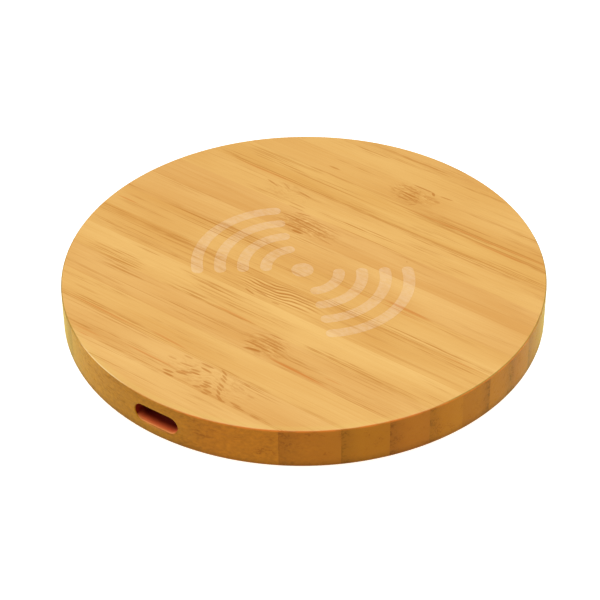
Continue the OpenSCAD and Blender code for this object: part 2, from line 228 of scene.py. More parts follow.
# laminated bamboo: strips side by side across Y, fibres along X, all through the solid
lamination = {
    "stripWidth": 7.4,          # mm, glue line to glue line
    "stripStart": 1.75,         # mm, where a glue line crosses the Y axis
    "grainTurn": -2.0,          # degrees, fibres against X
    "lowestStrip": -8,
    # lightness of each strip, from the lowest Y up
    "stripTones": (0.5, 0.75, 0.5, 0.5, 0.35, 0.9, 0.1, 0.45, 0.5, 0.2, 0.55, 0.3, 0.35, 0.55, 0.4, 0.5),
    # how rosy each strip is, in the same order
    "stripBlush": (0.3, 0.6, 0.7, 0.3, 0.7, 0.25, 0.25, 0.3, 0.7, 0.85, 0.3, 0.0, 0.3, 0.2, 0.4, 0.3),
    # 1 where a strip's dense side lies towards higher Y, in the same order
    "stripTurned": (0, 0, 0, 0, 0, 0, 1, 1, 0, 0, 1, 0, 0, 1, 0, 0),
    "stripOffset": 137.0,       # mm along the culm from one strip's cut to the next
    "pale": (245, 198, 116),
    "honey": (225, 168, 85),
    "blush": (0.985, 0.962, 1.06),
    "streak": (201, 137, 57),
    "torn": (194, 126, 48),
    "amber": (214, 138, 60),
    # fibres from broad to fine: length, width (mm), fineness
    "bands": (22, 1.9, 1.0),
    "bundles": (24, 0.62, 2.0),
    "hairs": (40, 0.32, 1.0),
    "flecks": (5, 0.4, 1.0),
    "cloudLength": 30,          # mm
    "cloudWidth": 6,            # mm
    "wander": 0.3,              # mm, how far the fibres stray sideways
    # what makes the wood paler than honey, and by how much
    "lightness": {"all": 0.07, "tone": 0.54, "share": 0.2, "clouds": 1.0, "bands": 0.35, "hairs": 0.85,
                  "frayed": 0.6},
    "ripplePlace": (0.5, -9.3, 24, 6.5),   # mm, wavy fibres: centre x, y, length, width
    "ripplePitch": 0.74,        # mm
    "rippleStart": -8.15,       # mm, where a dark wave crosses the Y axis
}
# fibres that stand out on the face: centre x, y, length, width (mm), lean (degrees), darkness
darkStrokes = (
    (-27, 31.2, 26, 0.8, 0, 0.85), (-12, 28, 32, 0.45, -0.4, 0.75), (29, 28.4, 60, 0.62, 0.2, 1),
    (27, 30, 72, 1, 0.3, 1), (6, 28.1, 10, 0.3, 0, 0.5), (19, 26.1, 13, 0.3, 0, 0.45),
    (25, 23.3, 46, 0.5, 0.5, 0.95), (30, 21.6, 18, 0.3, 0, 0.5), (-30, 22.2, 14, 0.6, 0, 0.35),
    (6, 16.35, 26, 0.45, 0, 0.85), (31, 10.8, 34, 0.3, 1, 0.45), (-26, 2.8, 34, 0.6, 0.8, 1),
    (-26, 1, 16, 0.3, 0.5, 0.4), (-36, -5.4, 28, 0.45, 0, 0.75), (-33, -6.5, 24, 0.34, 0.5, 0.6),
    (-36, -9.6, 24, 0.38, 0.6, 0.45), (-25, -10.4, 20, 0.3, 0.5, 0.4), (35, -12.9, 32, 0.9, 0, 0.5),
    (11, -11.9, 12, 0.45, 0, 0.5), (34, -6.6, 30, 0.34, 0, 0.4), (-38, -16.6, 11, 0.52, 0, 0.55),
    (-37, -17.6, 9, 0.38, -2, 0.75), (-34.5, -18.9, 16, 0.65, 2, 1), (-14.5, -18.7, 11, 0.38, 2, 0.8),
    (27.5, -20.2, 18, 0.38, 0, 0.8), (-23, -24.4, 27, 0.34, 0, 0.5), (-3, -23.3, 14, 0.3, 2, 0.4),
    (-33, -30.2, 9, 0.83, 0, 0.4), (11.5, -35.3, 15, 0.34, 1, 0.5), (-27, -37.3, 14, 0.3, 1, 0.4),
    (20.5, -43, 6, 0.3, 0, 0.4), (40, 0.5, 20, 0.3, 0.5, 0.45), (-15.8, 34.5, 3.8, 0.75, 0, 0.7),
    (16, 14.5, 0.5, 0.38, 0, 0.8), (4.5, 19.3, 18, 0.26, 0, 0.4), (3, 18.4, 15, 0.26, 0, 0.35),
    (-3, -15.4, 24, 0.26, 0.5, 0.35),
)
# the same, where resin has coloured the fibres
amberStrokes = (
    (31, 29.7, 64, 0.5, 0.3, 0.8), (30, 28, 18, 0.64, 0, 0.6), (-27, 25, 18, 0.96, 0.5, 0.4),
    (25, 0.9, 14, 1.2, -1.5, 0.75), (24, -0.3, 12, 0.72, -1, 0.6), (12, 0.2, 16, 0.48, 0, 0.5),
    (-46, -0.6, 7, 0.64, 0, 0.6), (-46, 1.5, 6, 0.4, 0, 0.4), (43.5, -7.3, 11, 0.48, 0, 0.5),
    (-3, -19.8, 13, 0.72, -0.5, 0.8), (18, -27.5, 17, 0.96, -2.2, 1), (25, -25.9, 5.5, 0.48, 0, 0.6),
    (-25, -33.8, 22, 0.72, -1, 0.75), (-9, -33.7, 12, 0.64, -2.5, 0.65),
    (-8.5, -39.7, 15, 0.8, 0.5, 0.85), (-0.6, -40.2, 3, 0.6, 8, 0.5), (-24.5, -40.5, 9, 0.56, 0, 0.85),
    (-24.5, -41.8, 5, 0.4, 0, 0.7),
)
# short torn strokes of the knuckles
tornStrokes = (
    (4.8, 38.75, 6.7, 0.45, 0, 0.8), (7.6, 38.1, 1.7, 0.79, -40, 0.8), (10.8, 38.4, 3.8, 0.51, 4, 0.6),
    (2.6, 37.4, 5.4, 0.45, -7, 0.6), (2.8, 36.6, 5.4, 0.45, -8, 0.7), (9.7, 36.1, 2, 0.84, 0, 0.5),
    (3, 35.1, 5.2, 0.51, -6, 0.95), (3.4, 34.3, 4.6, 0.45, -6, 0.9), (2.8, 33.3, 4.1, 0.56, -4, 0.75),
    (5.8, 32.4, 2, 0.51, 30, 0.5),
    (-23.7, 22, 4.4, 0.56, -18, 0.6), (-20.5, 22.6, 3.4, 0.45, -25, 0.5), (-15.5, 22.2, 4.4, 0.51, -6, 0.5),
    (-14.5, 18.2, 5.2, 0.42, 0, 0.45), (-14, 17.2, 5.2, 0.42, 0, 0.45),
    (-11.5, 16.1, 4.4, 0.51, 12, 0.7), (-6.5, 15.2, 12.9, 0.42, 0, 0.5), (-5, 14.3, 11.5, 0.42, 0, 0.5),
    (-9.5, 13.5, 16.7, 0.51, -3, 0.85), (-9.5, 12.6, 11.5, 0.51, -5, 0.75), (-8, 11.8, 10.3, 0.45, -3, 0.65),
    (-10, 10.7, 8.4, 0.56, -2, 0.9), (-9, 9.9, 3.4, 0.67, 0, 0.95), (-2.5, 10.6, 5.8, 0.42, 0, 0.45),
    (3, -8.1, 15, 0.42, 0, 0.6), (1, -9.0, 17, 0.42, 0, 0.6), (-3, -8.5, 6, 0.4, 0, 0.5),
    (-3.5, -10.6, 6, 0.42, -6, 0.7), (-5, -11.9, 3.4, 0.5, -10, 0.8), (1.6, -12.2, 2.4, 0.45, 0, 0.5),
    (8, -21.1, 4.4, 0.45, 0, 0.75), (8, -22.7, 9.6, 0.45, -2, 0.65), (9, -23.6, 7.7, 0.51, 0, 0.75),
    (9.6, -24.3, 5.8, 0.45, 0, 0.65), (6.8, -25.8, 8.4, 0.56, -2, 0.85), (6.4, -27, 4.6, 0.67, 8, 0.95),
    (-3.2, -41.4, 3.1, 0.64, 4, 0.81), (-2.6, -42.2, 3.1, 0.64, 0, 0.81), (-0.7, -40.6, 3.1, 0.64, 8, 0.81),
    (-0.1, -39.8, 3.1, 0.64, 8, 0.81), (1.1, -38.4, 2.6, 0.64, 8, 0.65), (1.5, -39.2, 3.1, 0.58, 8, 0.81),
    (2.2, -35.9, 3.9, 0.64, 0, 0.65), (2.8, -37.2, 3.4, 0.64, -5, 0.76), (-2.5, -35.8, 2.6, 0.58, 0, 0.43),
    (-1.3, -38, 3.9, 0.58, 6, 0.49), (-5, -37.7, 2.6, 0.58, 0, 0.38), (6.2, -35.8, 2.6, 0.64, -26, 0.7),
    (7.1, -37, 2.3, 0.58, -26, 0.65), (7.3, -37.8, 2.3, 0.58, -20, 0.65), (8, -39.3, 2.3, 0.64, -20, 0.7),
    (8.2, -40.2, 2.3, 0.64, -20, 0.7), (8.7, -41.2, 2.3, 0.64, -30, 0.7),
    (9.8, -42.3, 2.9, 0.64, -20, 0.76), (10.7, -42.7, 2.3, 0.58, 0, 0.65), (5.3, -40.1, 2.5, 0.64, 5, 0.76),
    (5.7, -40.8, 2.7, 0.64, 0, 0.81), (5.3, -41.4, 2.3, 0.64, 8, 0.7), (4.2, -42.1, 2.2, 0.64, 10, 0.7),
    (6.8, -42.1, 2.7, 0.64, 0, 0.76), (6.6, -42.8, 2.2, 0.58, 0, 0.7), (12, -36.2, 2.3, 0.58, -10, 0.43),
    (11.8, -37.8, 2.2, 0.58, -10, 0.43), (14.6, -38.6, 2.2, 0.58, 0, 0.38),
    (13.6, -42.1, 3.4, 0.64, 0, 0.65), (14.7, -42.6, 3.4, 0.58, 0, 0.59), (18.8, -43, 3.1, 0.58, 0, 0.54),
)
# where fine lines crowd together: centre x, y, length, width (mm), by how much
crowded = (
    (-24, 2, 40, 4, 0.24), (-28, -5.8, 58, 4.5, 0.2), (-26, -9.7, 58, 3.4, 0.2), (-36, -17.4, 18, 5, 0.24),
    (-6, -16, 44, 6, 0.2), (0, -24.3, 60, 3, 0.12), (-24, -34.5, 40, 5, 0.2), (-14, -39.8, 34, 4, 0.16),
    (28, 29, 60, 4.5, 0.22), (26, 23, 60, 3, 0.2), (-22, 25.4, 46, 2.6, 0.2), (-22, 29.5, 46, 5, 0.12),
    (14, 18, 40, 5, 0.12), (27, -6.5, 40, 4, 0.14), (28, -21, 36, 4, 0.14), (16, -26.5, 24, 4, 0.14),
    (-35, 6.5, 34, 6, -0.2), (-40, -14, 24, 5, -0.25), (-22, -15.5, 18, 4, -0.2), (30, 8, 46, 10, -0.25),
    (28, -16.5, 34, 5, -0.3), (24, -33, 40, 8, -0.15), (-26, 36, 40, 7, -0.15), (-28, 14, 34, 8, -0.2),
)
# wide paler or darker patches: centre x, y, length, width (mm), by how much
washes = (
    (38, -4, 36, 26, 0.24), (-38, 0, 36, 26, -0.14), (0, -20, 28, 12, -0.16), (20, 24, 50, 16, 0.1),
    (-18, 34, 40, 16, 0.08),
)
# where the fibres swell round a knuckle: centre x, y, length, width (mm), tint, lift (mm), slant of tears
knuckles = (
    (4.0, 35.5, 14, 8.0, 0.7, 0.0, 0.25), (-19.0, 21.5, 15, 7.0, 0.25, 0.3, -0.4),
    (-8.5, 12.8, 19, 8.0, 0.7, 0.5, 0.1), (6.5, -7.6, 17, 7.5, 0.1, 0.7, 0.0),
    (-2, -10, 12, 6.5, 0.2, -0.35, 0.0), (8.0, -24.2, 13, 8.5, 0.6, 0.5, 0.0),
    (5.0, -39.2, 25, 9.5, 0.28, 0.2, 0.3),
)


def bambooGroup():
    s = lamination
    outputs = {"Colour": "Color"}
    outputs.update({label: "Float" for label in ("Fibre", "Tone", "Blush", "Dense", "Height")})
    tree, wires, given, result = newGroup("bambooGrain", {"Position": "Vector"}, outputs)
    inks = (s[name] for name in ("pale", "honey", "streak", "torn", "amber"))
    pale, honey, streak, torn, amber = (seen(*ink, faceLight) for ink in inks)
    turn = math.radians(s["grainTurn"])
    x, y, up = wires.split(given["Position"])

    def spot(flat, cx, cy, length, width, lean=0.0):
        # squared reach from the middle of a slim oval: 1 on its rim; flat is (x, y, 1)
        angle = turn + math.radians(lean)
        cosine, sine = math.cos(angle), math.sin(angle)
        long, wide = length / 2, width / 2
        a = wires.dot(flat, (cosine / long, sine / long, -(cosine * cx + sine * cy) / long))
        b = wires.dot(flat, (-sine / wide, cosine / wide, (sine * cx - cosine * cy) / wide))
        return wires.math("MULTIPLY_ADD", a, a, b * b)

    # fibres wander a little, and swell round the knuckles
    wander = wires.noise(wires.combine(x * 0.05, y * 0.3, up * 0.3), 1.0)
    plain = wires.combine(x, y, 1.0)
    lift, knotted, slanted = (wander - 0.5) * s["wander"], 0.0, 0.0
    for *row, tint, rise, slant in knuckles:
        area = spot(plain, *row).ramp(1.0, 0.02)
        lift = lift + area * rise
        knotted = wires.most(knotted, area * tint)
        slanted = slanted + area * abs(x - row[0]) * slant
    bentY = y - lift
    flat = wires.combine(x, bentY, 1.0)

    along = x * math.cos(turn) + y * math.sin(turn)
    across = y * math.cos(turn) - x * math.sin(turn)
    strip = (across - s["stripStart"]) / s["stripWidth"]
    index = wires.math("FLOOR", strip)
    step = (index + 0.5 - s["lowestStrip"]) / len(s["stripTones"])
    turned, tone, blush = (wires.steps(step, s[name]) for name in ("stripTurned", "stripTones", "stripBlush"))
    share = abs(turned - (strip - index))                         # 0 at a strip's dense side

    # bundles of fibres: each strip is cut from another length of culm
    run = along + index * s["stripOffset"]
    bent = across - lift

    def fibres(length, width, detail):
        place = wires.combine(run * (1 / length), bent * (1 / width), up * (1 / width))
        return wires.noise(place, detail, 0.55)

    length, width = s["cloudLength"], s["cloudWidth"]
    clouds = wires.noise(wires.combine(along * (1 / length), bent * (1 / width), up * (1 / width)), 1.0)
    bands, bundles, hairs, flecks = (fibres(*s[name]) for name in ("bands", "bundles", "hairs", "flecks"))
    dense = share.ramp(0.45, 0.0)
    crowd = bands + dense * 0.1                                   # fine lines crowd together here
    for *row, more in crowded:
        crowd = crowd + spot(plain, *row).ramp(1.0, 0.2, 0.0, more)
    cluster = crowd.ramp(0.45, 0.8, 0.08, 0.9)
    bundle = bundles.ramp(0.48, 0.74) * flecks.ramp(0.25, 0.6, 0.5, 1.0)    # thick fibres
    line = hairs.ramp(0.44, 0.6) * cluster * flecks.ramp(0.3, 0.6, 0.35, 1.0)    # fine dark lines
    glue = share.ramp(0.045, 0.0) * bands.ramp(0.4, 0.6)          # joint between two strips

    def strokes(rows, tight, faintest=0.35):
        total = 0.0
        for *row, darkness in rows:
            total = wires.most(total, spot(flat, *row).ramp(1.0, tight, 0.0, darkness))
        return total * hairs.ramp(0.35, 0.6, faintest, 1.1)

    dark = wires.most(bundle * (0.08 + cluster * 0.4), line, glue * 0.3, strokes(darkStrokes, 0.05))
    resin = strokes(amberStrokes, 0.05)
    # torn and wavy fibres: dark where they are cut across, pale between
    feather = wires.noise(wires.combine(x * 0.6, (bentY + slanted) * 2.4, up), 2.0, 0.6)
    wave = wires.math("COSINE", (bentY - s["rippleStart"]) * (math.tau / s["ripplePitch"]))
    rippled = spot(plain, *s["ripplePlace"]).ramp(1.0, 0.2) * flecks.ramp(0.3, 0.55, 0.4, 1.0)
    ripped = wires.most(strokes(tornStrokes, 0.3, 0.8), knotted * feather.ramp(0.52, 0.64),
                        rippled * wave.ramp(0.1, 1.0))
    frayed = wires.most(knotted * feather.ramp(0.46, 0.34), rippled * wave.ramp(-0.1, -1.0, 0.0, 0.9))

    by = s["lightness"]
    lightness = by["all"] + tone * by["tone"] + share * by["share"]
    for name, pattern in (("clouds", clouds), ("bands", bands), ("hairs", hairs)):
        lightness = lightness + (pattern - 0.5) * by[name]
    lightness = lightness + frayed * by["frayed"]
    for *row, more in washes:
        lightness = lightness + spot(plain, *row).ramp(1.0, 0.1, 0.0, more)
    lightness = wires.math("MINIMUM", wires.most(lightness, 0.0), 1.0)
    colour = wires.tinted(wires.mix(lightness, honey, pale), s["blush"], blush)
    colour = wires.mix(knotted * wires.most(0.25 - frayed * 0.4, 0.0), colour, streak)
    for mask, ink in ((dark, streak), (resin, amber), (ripped, torn)):
        colour = wires.mix(mask, colour, ink)
    fibre = wires.most(dark, resin, ripped)
    height = hairs * 0.4 - bundle
    wires.fill(result, Colour=colour, Fibre=fibre, Tone=tone, Blush=blush, Dense=dense, Height=height)
    return tree


bambooGrain = bambooGroup()
print("bamboo grain built")

oiledSurface = {
    "sideShadeAndOil": (0.55, 0.355, 0.024),     # painted shade: the side is darker and deeper in colour than the face, partly from oil soaking in, partly standing in for shade
    "sideBlush": (1.04, 0.92, 2.4),
    "paintedSideSheen": (1.07, 1.3, 1.05),        # painted sheen: the side left of the port is painted lighter and yellower
    "plain": (232, 180, 104),             # the side's grain is evened out towards this
    "plainBy": 0.4,
    # what shades the side, and by how much
    "sideShade": {"all": 0.94, "tone": 0.08, "dense": -0.15, "vessels": -0.17, "specks": 0.68},
    "lowEdge": (0.5, 2.6),                # mm above the floor, where the side's painted shade is darkest and where it ends
    "lowShade": 0.68,
    "paleRimBand": (238, 204, 112),            # face close to the rim, painted paler and yellower
    "paleRimBandBy": 0.2,
    "paintedRimGlow": (234, 128, 44),          # painted light: a bright orange glow on the outer half of the rim, on the port's right
    "paintedRimGlowBy": (0.25, 0.68),          # in patches, from least to most
    "paintedRimHighlight": (252, 226, 160),            # painted highlight: a pale line on the inner half of the rim
    "paintedRimHighlightBy": 0.6,
    "oliveRim": (158, 132, 44),            # inner half of the rim, painted dark olive
    "oliveRimBy": 0.85,
    "lip": (222, 136, 72),                # painted highlight on the outer edge of the port's sill
    "mouth": (240, 112, 58),              # painted light and shade inside the port: lit at its mouth, shaded deep inside
    "paintedPortShade": (120, 24, 6),
    # where: degrees round from the port, cosines of the angle away from there where it starts and is full
    "paintedSheenAt": (-22, 0.8, 0.95),
    "paleRimBandAt": (15, 0.55, 0.85),
    "paintedRimGlowAt": (52, 0.45, 0.75),
    "paintedRimHighlightAt": (-18, 0.978, 0.998),
    "plainInnerRimAt": (20, 0.62, 0.72),          # the inner rim keeps its plain colour here
    # how deep: mm in from the outside, where it starts and is full
    "paleRimBandFrom": (1.7, 0.8),
    "outerRimFrom": (0.55, 0.2),          # mm below the face
    "wallShadeFrom": (0.12, 0.3),
    "sillLightAndShadeFrom": (0.1, 0.95),
    "paintedPortLightFrom": (2.6, 0.2),
    "portZone": (7.2, -40.0, 2.25, 7.35), # mm: half width, back, lowest, highest
    "upperHalf": 5.0,                     # mm, the inner rim's wear stays above this
    "endGrain": (22.0, 36.0),             # mm from the middle: last of the long fibres, all cut ends
    "roughness": 0.48,
    "fibreRoughness": 0.14,
    "bumpDepth": 0.03,                    # mm
    "bumpStrength": 0.6,
}


def bambooMaterial(name, **constants):
    s = oiledSurface
    made, wires, shader, place = newMaterial(name, **constants)
    grain = wires.group(bambooGrain, Position=place)
    tone, dense, fibre = grain["Tone"], grain["Dense"], grain["Fibre"]
    x, y, up = wires.split(place)
    upward = wires.split(wires.value("ShaderNodeTexCoord", output="Normal"))[2]
    facing = abs(upward)
    radius = wires.reach(x, y)
    halfWidth, back, lowest, highest = s["portZone"]
    nearPort = (y < back) * (abs(x) < halfWidth) * (up < highest) * (up > lowest)
    side = wires.most(facing.ramp(0.95, 0.35), nearPort)
    outerRim = up.ramp(*(topZ - depth for depth in s["outerRimFrom"])) * facing.ramp(0.95, 0.75)
    innerRim = facing.ramp(0.45, 0.7) * facing.ramp(0.995, 0.9) * (up > s["upperHalf"])

    def inwards(start, full):
        return radius.ramp(padR - start, padR - full)

    def towards(angle, start, full):
        a = math.radians(angle)
        return wires.dot(place, (math.sin(a) / padR, -math.cos(a) / padR, 0.0)).ramp(start, full)

    # mixes one of the colours above in where the mask says: the side's even tone, bands on the rim, a painted
    # glow and painted highlights
    def stainAndPaintedLight(mask, name, light=faceLight):
        return wires.mix(mask, colour, seen(*s[name], light))

    # the side: long fibres in the middle, cut ends with dark vessels towards its left and right
    colour = grain["Colour"]
    # painted shade, with some oil soaking: the side is tinted darker than the face
    colour = wires.tinted(stainAndPaintedLight(side * s["plainBy"], "plain"), s["sideShadeAndOil"], side)
    endGrain = abs(x).ramp(*s["endGrain"])
    specks = wires.noise(wires.stretched(place, 1.3, 1.3, 1.6))
    vessels = dense.ramp(0.55, 0.98) * endGrain * specks.ramp(0.5, 0.58)
    by = s["sideShade"]
    shade = by["all"] + tone * by["tone"] + dense * by["dense"] + vessels * by["vessels"]
    shade = shade + (specks - 0.5) * by["specks"] * (1.0 - endGrain)
    # painted shade: the side grows darker towards the floor
    shade = shade * fibre.ramp(0.1, 0.7, 1.0, 0.9) * up.ramp(*s["lowEdge"], s["lowShade"], 1.0)
    colour = wires.tinted(colour, wires.combine(shade, shade, shade * (1.0 - vessels * 0.5)), side)
    colour = wires.tinted(colour, s["sideBlush"], side * grain["Blush"])
    # painted sheen: the side left of the port is made lighter and yellower
    colour = wires.tinted(colour, s["paintedSideSheen"], side * towards(*s["paintedSheenAt"]))

    # the rims and the face beside them: a paler band, a painted glow, a painted highlight and an olive band
    paleRimBand = inwards(*s["paleRimBandFrom"]) * facing.ramp(0.95, 0.99)
    colour = stainAndPaintedLight(paleRimBand * towards(*s["paleRimBandAt"]) * s["paleRimBandBy"], "paleRimBand")
    patches = wires.noise(wires.grown(place, 0.35)).ramp(0.35, 0.6, *s["paintedRimGlowBy"])
    # painted light: an orange glow on the outer rim, in patches
    colour = stainAndPaintedLight(outerRim * towards(*s["paintedRimGlowAt"]) * patches, "paintedRimGlow")
    # painted highlight on the inner rim, left of the port
    colour = stainAndPaintedLight(innerRim * towards(*s["paintedRimHighlightAt"]) * s["paintedRimHighlightBy"], "paintedRimHighlight")
    colour = stainAndPaintedLight(innerRim * (1.0 - towards(*s["plainInnerRimAt"])) * s["oliveRimBy"], "oliveRim")

    # the port: painted light at the mouth of its sill, painted shade deeper in; its sill shows more of this
    # than its walls
    sill = upward.ramp(0.5, 0.95)
    inside = wires.mix(sill, inwards(*s["wallShadeFrom"]), inwards(*s["sillLightAndShadeFrom"]))
    # painted highlight on the port's sill
    colour = stainAndPaintedLight(sill * nearPort, "lip", 1.0)
    # painted light at the port's mouth, fading to painted shade deeper in and on the walls
    portLightAndShade = wires.mix(inwards(*s["paintedPortLightFrom"]) * sill, seen(*s["paintedPortShade"]), seen(*s["mouth"]))
    colour = wires.mix(inside * nearPort, colour, portLightAndShade)
    wires.fill(shader, Base_Color=colour, Roughness=s["roughness"] + fibre * s["fibreRoughness"],
               Normal=wires.bump(grain["Height"], s["bumpDepth"], s["bumpStrength"]))
    return made


oiledBamboo = bambooMaterial("oiledBamboo", Specular_IOR_Level=0.15)
oiledSide = bambooMaterial("oiledSide", Specular_IOR_Level=0.06, Sheen_Weight=0.38, Sheen_Roughness=0.3,
                           Sheen_Tint=(0.68, 0.8, 0.02))

inkLook = {
    "tone": (246, 214, 176),
    "cover": (0.31, 0.14),      # share of the wood that it hides, on plain wood and on the darkest fibres
    "patches": (0.55, 1.15),    # where the film is thin and thick
}


def inkMaterial():
    made, wires, shader, place = newMaterial("paleInk", Roughness=0.55, Specular_IOR_Level=0.3)
    grain = wires.group(bambooGrain, Position=place)
    patchy = wires.noise(wires.stretched(place, 0.9, 1.6, 0.9), 3.0, 0.65)
    cover = grain["Fibre"].ramp(0.0, 0.7, *inkLook["cover"]) * patchy.ramp(0.35, 0.65, *inkLook["patches"])
    tone = seen(*inkLook["tone"], faceLight)
    wires.fill(shader, Base_Color=wires.mix(cover, grain["Colour"], tone))
    return made


paleInk = inkMaterial()
print("bamboo and ink finishes built")


# mesh helpers: shapes are made in mm and land in metres
def lathe(profile, steps):
    shape = bmesh.new()
    line = [shape.verts.new((r, 0.0, z)) for r, z in profile]
    edges = [shape.edges.new(pair) for pair in zip(line, line[1:])]
    bmesh.ops.spin(shape, geom=line + edges, cent=(0, 0, 0), axis=(0, 0, 1), angle=math.tau,
                   steps=steps, use_merge=True)
    bmesh.ops.remove_doubles(shape, verts=shape.verts, dist=1e-5)
    bmesh.ops.recalc_face_normals(shape, faces=shape.faces)
    return shape


def loft(rings, shape=None, hollow=False):
    shape = shape or bmesh.new()
    rows = [[shape.verts.new(p) for p in ring] for ring in rings]
    for low, high in zip(rows, rows[1:] + rows[:hollow]):
        for i in range(len(low)):
            j = (i + 1) % len(low)
            shape.faces.new((low[i], low[j], high[j], high[i]))
    if not hollow:
        shape.faces.new(rows[0][::-1])
        shape.faces.new(rows[-1])
    if shape.calc_volume(signed=True) < 0:
        bmesh.ops.reverse_faces(shape, faces=shape.faces)
    return shape


def arc(cx, cy, r, start, end, count):
    angles = [math.radians(start + (end - start) * i / count) for i in range(count + 1)]
    return [(cx + r * math.cos(a), cy + r * math.sin(a)) for a in angles]


def circle(r, count):
    return arc(0, 0, r, 0, 360 - 360 / count, count - 1)


def stadium(width, height, grow, count):
    r = height / 2 + grow
    reach = (width - height) / 2
    return arc(reach, 0, r, -90, 90, count) + arc(-reach, 0, r, 90, 270, count)


def prism(outline, bottom, top):
    return loft([[(px, py, z) for px, py in outline] for z in (bottom, top)])


def plug(r, bottom, top, count=40):
    return prism(circle(r, count), bottom, top)


def turnedOut(shape, angle, distance):
    spin = Matrix.Rotation(math.radians(angle), 4, "Z")
    bmesh.ops.transform(shape, matrix=spin @ Matrix.Translation((distance, 0, 0)), verts=shape.verts)
    return shape


def objectFrom(name, shape):
    bmesh.ops.scale(shape, vec=(mm, mm, mm), verts=shape.verts)
    mesh = bpy.data.meshes.new(name)
    shape.to_mesh(mesh)
    shape.free()
    made = bpy.data.objects.new(name, mesh)
    bpy.context.scene.collection.objects.link(made)
    return made


def carve(piece, operation, *shapes):
    tools = [objectFrom("cutter", shape) for shape in shapes]
    for tool in tools:
        change = piece.modifiers.new("carve", "BOOLEAN")
        change.operation, change.object, change.solver = operation, tool, "EXACT"
    graph = bpy.context.evaluated_depsgraph_get()
    carved = bpy.data.meshes.new_from_object(piece.evaluated_get(graph))
    piece.modifiers.clear()
    carved.name, old, piece.data = piece.name, piece.data, carved
    bpy.data.meshes.remove(old)
    for tool in tools:
        bpy.data.objects.remove(tool)


def finishPiece(piece, material, *replaced, smooth=35):
    mesh = piece.data
    mesh.materials.clear()
    mesh.materials.append(material)
    mesh.polygons.foreach_set("use_smooth", [True] * len(mesh.polygons))
    mesh.set_sharp_from_angle(angle=math.radians(smooth))
    weighted = piece.modifiers.new("weighted", "WEIGHTED_NORMAL")
    weighted.keep_sharp = True
    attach(piece, "root")
    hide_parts(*replaced)
    return piece


bodyShape = {
    "edge": 0.3,                # mm, eased rims
    "pocketR": 42.0,
    "rebateR": 44.25,
    "rebateDepth": 1.6,
    "ceiling": 7.6,             # mm above the floor
    "bayHalfWidth": 7.0,
    "bayBack": -40.0,
    "bayFront": -46.2,
    "bayTop": 7.3,
    "bayCorner": 1.5,
    "portWidth": 10.4,
    "portHeight": 3.9,
    "portZ": 4.87,
    "portLip": 0.3,             # mm, rounded mouth of the port
    "portFlare": 0.51,          # mm, how much wider the cutter starts, clear of the wood
    "portClear": 0.25,          # mm in front of the wood
    "lugR": 3.6,
    "lugCircle": 38.0,
    "lugFoot": 2.8,
    "lugRoot": 0.3,             # mm into the ceiling
    "boreR": 1.0,
    "boreDepth": 3.8,
    "boreClear": 0.5,           # mm below the lug
    "overlap": 1.0,             # mm, where two forms run into each other
    "shellZ": 5.0,              # middle and width of the cable socket behind the port
    "shellWidth": 8.94,
    "faceRows": (0, 12, 24, 36, 44),   # mm, radii where the face is divided
    "ceilingRow": 20,
    "sideLean": 0.6,            # most that a normal points up or down on what counts as the side
    "steps": 288,
}


def portCutter():
    s = bodyShape
    lip = s["portLip"]

    def outline(grow=0.0):
        return stadium(s["portWidth"], s["portHeight"], grow, 20)

    def ring(depth, grow):
        return [(px, depth - math.sqrt(padR ** 2 - px ** 2), s["portZ"] + pz) for px, pz in outline(grow)]

    angles = [math.radians(20 + 10 * i) for i in range(8)]
    rings = [ring(-s["portClear"], s["portFlare"])]
    rings += [ring(lip * (1 - math.cos(a)), lip * (1 - math.sin(a))) for a in angles]
    rings.append([(px, s["bayFront"] + s["overlap"], s["portZ"] + pz) for px, pz in outline()])
    return loft(rings)


def bayCutter():
    s = bodyShape
    w, c, front = s["bayHalfWidth"], s["bayCorner"], s["bayFront"]
    outline = arc(-w + c, front + c, c, 180, 270, 6) + arc(w - c, front + c, c, 270, 360, 6)
    outline += [(w, s["bayBack"]), (-w, s["bayBack"])]
    return prism(outline, 0.0, s["bayTop"])


def atLug(shape, number):
    return turnedOut(shape, 45 + 90 * number, bodyShape["lugCircle"])


def lugShape(number):
    s = bodyShape
    out = s["pocketR"] - s["lugCircle"] + s["overlap"]
    outline = arc(0, 0, s["lugR"], 90, 270, 24) + [(out, -s["lugR"]), (out, s["lugR"])]
    return atLug(prism(outline, s["lugFoot"], s["ceiling"] + s["lugRoot"]), number)


def boreShape(number):
    s = bodyShape
    return atLug(plug(s["boreR"], s["lugFoot"] - s["boreClear"], s["lugFoot"] + s["boreDepth"], 24), number)


def makeBody():
    s = bodyShape
    low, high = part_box("bamboo_body")[0].z / mm, topZ
    e = s["edge"]
    shelf = low + s["rebateDepth"]
    profile = [(r, high) for r in s["faceRows"]]
    profile += arc(padR - e, high - e, e, 90, 0, 7)
    profile += [(padR, low + (high - low) * part) for part in (0.75, 0.5, 0.25)]
    profile += arc(padR - e, low + e, e, 0, -90, 7)
    profile += [(s["rebateR"], low), (s["rebateR"], shelf), (s["pocketR"], shelf)]
    profile += [(r, s["ceiling"]) for r in (s["pocketR"], s["ceilingRow"], 0)]
    piece = objectFrom("bambooBody", lathe(profile, s["steps"]))
    carve(piece, "UNION", *(lugShape(i) for i in range(4)))
    carve(piece, "DIFFERENCE", bayCutter(), portCutter(), *(boreShape(i) for i in range(4)))
    finishPiece(piece, oiledBamboo, "bamboo_body")
    piece.data.materials.append(oiledSide)
    for face in piece.data.polygons:
        if face.center.xy.length > (padR - e) * mm and abs(face.normal.z) < s["sideLean"]:
            face.material_index = 1
    return piece


bambooBody = makeBody()
print("bamboo body:", len(bambooBody.data.polygons), "faces")

